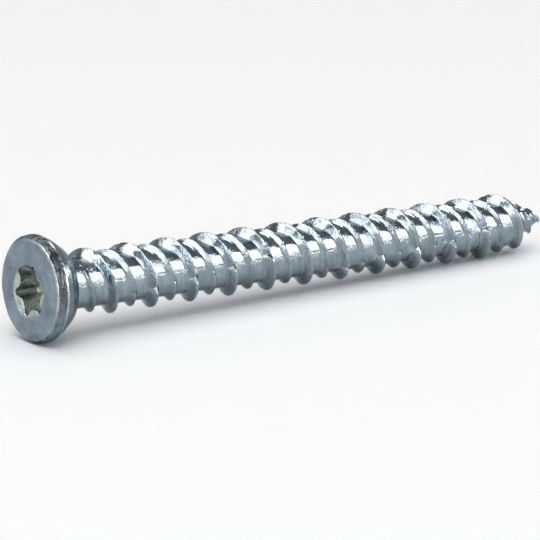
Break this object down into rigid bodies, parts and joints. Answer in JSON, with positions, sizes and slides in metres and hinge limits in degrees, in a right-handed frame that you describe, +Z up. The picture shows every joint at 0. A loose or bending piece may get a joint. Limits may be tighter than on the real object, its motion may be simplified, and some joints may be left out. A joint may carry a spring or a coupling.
{
  "type": "concrete screw",
  "caption": "Countersunk concrete screw with a six-lobe recess and a pointed twin-start thread of two heights, in bright zinc-plated steel.",
  "frame": {"origin": "on the ground under the middle of the screw, as it lies at rest on its head's rim and the last full turn of its tall thread", "axes": "+X along the screw from the head to the point, dipping two degrees; +Z up; the side seen in the picture faces -Y"},
  "size_m": [0.0728, 0.0116, 0.0117],
  "materials": {
    "zinc_plated_steel": "bright zinc plating, smooth and slightly bluish, satin on the head"
  },
  "bodies": {
    "root": {"concrete_screw": "zinc_plated_steel"}
  },
  "joints": []
}
